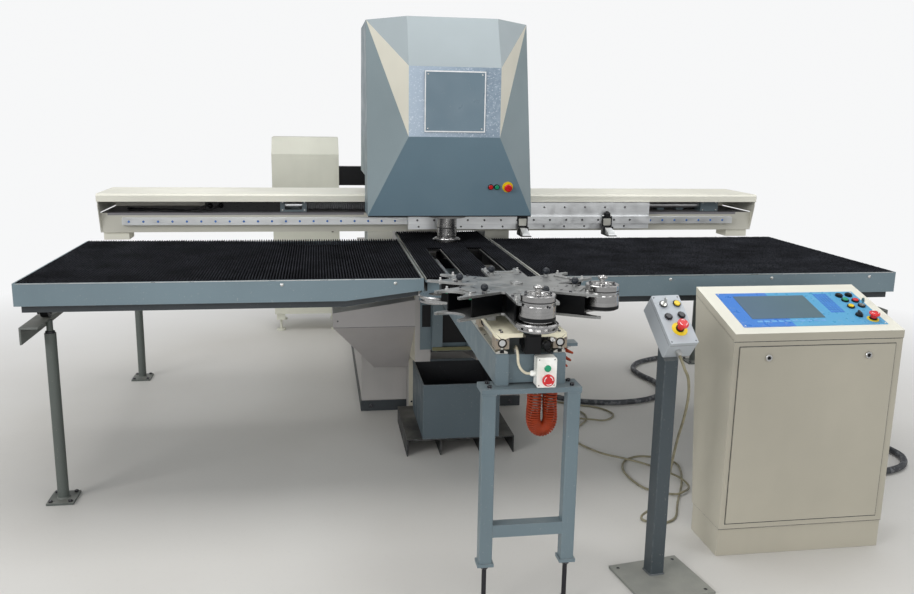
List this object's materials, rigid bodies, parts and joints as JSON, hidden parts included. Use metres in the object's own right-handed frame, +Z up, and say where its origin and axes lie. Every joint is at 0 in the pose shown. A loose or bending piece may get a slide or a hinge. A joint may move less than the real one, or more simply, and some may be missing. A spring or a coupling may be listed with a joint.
{
  "type": "turret punch press",
  "caption": "Sheet metal punch press with C frame, brush tables, travelling beam with sheet clamps, sliding rotary tool changer, control desk and pedestal.",
  "frame": {"origin": "on the floor under the punch axis, on the underside of the front foot of the frame", "axes": "+X to the operator's right along the beam, +Y to the rear along the tool changer, +Z up along the punch axis"},
  "size_m": [4.038, 4.489, 2.118],
  "materials": {
    "frame_paint": "satin enamel",
    "head_paint": "satin enamel",
    "tool_steel": "turned and ground",
    "rail_steel": "ground",
    "table_paint": "satin enamel",
    "brush": "bristles",
    "angle_paint": "worn enamel",
    "leg_paint": "satin enamel",
    "chute_paint": "satin enamel",
    "bin_paint": "worn enamel",
    "skid_paint": "worn enamel",
    "changer_paint": "satin enamel",
    "box_ivory": "moulded",
    "hose_orange": "coiled hose",
    "cable_ivory": "sheathed",
    "desk_paint": "fine texture",
    "desk_blue": "printed film",
    "post_paint": "satin enamel",
    "pedestal_paint": "hammered enamel",
    "cabinet_paint": "satin enamel",
    "cable_grey": "sheathed",
    "conduit_grey": "corrugated",
    "beam_paint": "satin enamel",
    "drive_black": "satin enamel",
    "carriage_steel": "ground",
    "clamp_black": "blackened",
    "slide_ivory": "satin enamel",
    "star_steel": "worn",
    "web_black": "blackened",
    "button_red": "moulded",
    "stop_red": "moulded",
    "button_green": "moulded",
    "button_yellow": "moulded",
    "button_black": "moulded",
    "key_steel": "polished"
  },
  "bodies": {
    "machine": {"c_frame": "frame_paint", "head_cover": "head_paint", "die_holder": "tool_steel", "y_rails": "rail_steel", "middle_table": "table_paint", "middle_brush": "brush", "outer_rails": "angle_paint", "rail_legs": "leg_paint", "chute_cover": "chute_paint", "scrap_bin": "bin_paint", "bin_skid": "skid_paint", "changer_beam": "changer_paint", "guide_shafts": "rail_steel", "changer_stand": "changer_paint", "switch_box": "box_ivory", "air_hose": "hose_orange", "switch_cable": "cable_ivory", "desk_cabinet": "desk_paint", "desk_panel": "desk_blue", "pedestal_post": "post_paint", "pedestal_box": "pedestal_paint", "rear_cabinet": "cabinet_paint", "pedestal_cable": "cable_grey", "desk_conduit": "conduit_grey"},
    "cross_axis": {"left_table": "table_paint", "right_table": "table_paint", "side_brushes": "brush", "cross_beam": "beam_paint", "beam_cover": "beam_paint", "x_rail": "rail_steel", "x_drive": "drive_black"},
    "carriage": {"carriage": "carriage_steel", "sheet_clamps": "clamp_black"},
    "jaw_left": {"clamp_jaw_left": "carriage_steel"},
    "jaw_right": {"clamp_jaw_right": "carriage_steel"},
    "ram": {"punch_holder": "tool_steel"},
    "changer": {"changer_slide": "slide_ivory", "changer_motor": "drive_black"},
    "carousel": {"upper_star": "star_steel", "lower_star": "star_steel", "star_webs": "web_black", "tool_cassettes": "tool_steel", "die_rings": "tool_steel"},
    "door": {"desk_door": "desk_paint"},
    "head_red_button_body": {"head_red_button": "button_red"},
    "head_green_button_body": {"head_green_button": "button_green"},
    "head_stop_body": {"head_stop": "stop_red"},
    "changer_green_button_body": {"changer_green_button": "button_green"},
    "changer_stop_body": {"changer_stop": "stop_red"},
    "pedestal_key_body": {"pedestal_key": "key_steel"},
    "pedestal_yellow_button_body": {"pedestal_yellow_button": "button_yellow"},
    "pedestal_black_left_body": {"pedestal_black_left": "button_black"},
    "pedestal_black_right_body": {"pedestal_black_right": "button_black"},
    "pedestal_stop_body": {"pedestal_stop": "stop_red"},
    "desk_green_button_body": {"desk_green_button": "button_green"},
    "desk_red_button_body": {"desk_red_button": "button_red"},
    "desk_yellow_button_body": {"desk_yellow_button": "button_yellow"},
    "desk_key_body": {"desk_key": "key_steel"},
    "desk_selector_body": {"desk_selector": "button_black"},
    "desk_stop_body": {"desk_stop": "stop_red"}
  },
  "joints": [
    {"name": "cross_axis_slide", "type": "slide", "parent": "machine", "child": "cross_axis", "axis": [0, 1, 0], "range_m": [0, 0.95]},
    {"name": "carriage_slide", "type": "slide", "parent": "cross_axis", "child": "carriage", "axis": [1, 0, 0], "range_m": [-1.5, 0.5]},
    {"name": "jaw_left_hinge", "type": "hinge", "parent": "carriage", "child": "jaw_left", "pos_m": [0.464, 0.19, 1.012], "axis": [-1, 0, 0], "range_deg": [0, 8]},
    {"name": "jaw_right_hinge", "type": "hinge", "parent": "carriage", "child": "jaw_right", "pos_m": [0.961, 0.19, 1.012], "axis": [-1, 0, 0], "range_deg": [0, 8]},
    {"name": "ram_slide", "type": "slide", "parent": "machine", "child": "ram", "axis": [0, 0, 1], "range_m": [-0.004, 0.024]},
    {"name": "changer_slide", "type": "slide", "parent": "machine", "child": "changer", "axis": [0, 1, 0], "range_m": [0, 1.22]},
    {"name": "carousel_turn", "type": "hinge", "parent": "changer", "child": "carousel", "pos_m": [0, -1.679, 1], "axis": [0, 0, 1], "continuous": true},
    {"name": "door_hinge", "type": "hinge", "parent": "machine", "child": "door", "pos_m": [1.15, -1.7133, 0.138], "axis": [1, 0, 0], "range_deg": [0, 30]},
    {"name": "head_red_button_press", "type": "slide", "parent": "machine", "child": "head_red_button_body", "axis": [0, 0.9733, 0.2294], "range_m": [0, 0.003], "stiffness_N_per_m": 600, "springref_m": -0.002},
    {"name": "head_green_button_press", "type": "slide", "parent": "machine", "child": "head_green_button_body", "axis": [0, 0.9733, 0.2294], "range_m": [0, 0.003], "stiffness_N_per_m": 600, "springref_m": -0.002},
    {"name": "head_stop_press", "type": "slide", "parent": "machine", "child": "head_stop_body", "axis": [0, 0.9733, 0.2294], "range_m": [0, 0.0035]},
    {"name": "changer_green_button_press", "type": "slide", "parent": "machine", "child": "changer_green_button_body", "axis": [0, 1, 0], "range_m": [0, 0.003], "stiffness_N_per_m": 600, "springref_m": -0.002},
    {"name": "changer_stop_press", "type": "slide", "parent": "machine", "child": "changer_stop_body", "axis": [0, 1, 0], "range_m": [0, 0.0035]},
    {"name": "pedestal_key_turn", "type": "hinge", "parent": "machine", "child": "pedestal_key_body", "pos_m": [0.51738, -1.73288, 1.00231], "axis": [0.0668, -0.6353, 0.7694], "range_deg": [0, 90]},
    {"name": "pedestal_yellow_button_press", "type": "slide", "parent": "machine", "child": "pedestal_yellow_button_body", "axis": [-0.0668, 0.6353, -0.7694], "range_m": [0, 0.003], "stiffness_N_per_m": 600, "springref_m": -0.002},
    {"name": "pedestal_black_left_press", "type": "slide", "parent": "machine", "child": "pedestal_black_left_body", "axis": [-0.0668, 0.6353, -0.7694], "range_m": [0, 0.003], "stiffness_N_per_m": 600, "springref_m": -0.002},
    {"name": "pedestal_black_right_press", "type": "slide", "parent": "machine", "child": "pedestal_black_right_body", "axis": [-0.0668, 0.6353, -0.7694], "range_m": [0, 0.003], "stiffness_N_per_m": 600, "springref_m": -0.002},
    {"name": "pedestal_stop_press", "type": "slide", "parent": "machine", "child": "pedestal_stop_body", "axis": [-0.0668, 0.6353, -0.7694], "range_m": [0, 0.0035]},
    {"name": "desk_green_button_press", "type": "slide", "parent": "machine", "child": "desk_green_button_body", "axis": [0, 0.279, -0.9603], "range_m": [0, 0.003], "stiffness_N_per_m": 600, "springref_m": -0.002},
    {"name": "desk_red_button_press", "type": "slide", "parent": "machine", "child": "desk_red_button_body", "axis": [0, 0.279, -0.9603], "range_m": [0, 0.003], "stiffness_N_per_m": 600, "springref_m": -0.002},
    {"name": "desk_yellow_button_press", "type": "slide", "parent": "machine", "child": "desk_yellow_button_body", "axis": [0, 0.279, -0.9603], "range_m": [0, 0.003], "stiffness_N_per_m": 600, "springref_m": -0.002},
    {"name": "desk_key_turn", "type": "hinge", "parent": "machine", "child": "desk_key_body", "pos_m": [1.421, -1.53475, 0.93742], "axis": [0, -0.279, 0.9603], "range_deg": [0, 90]},
    {"name": "desk_selector_turn", "type": "hinge", "parent": "machine", "child": "desk_selector_body", "pos_m": [1.367, -1.60485, 0.91705], "axis": [0, -0.279, 0.9603], "range_deg": [-45, 45]},
    {"name": "desk_stop_press", "type": "slide", "parent": "machine", "child": "desk_stop_body", "axis": [0, 0.279, -0.9603], "range_m": [0, 0.0035]}
  ]
}
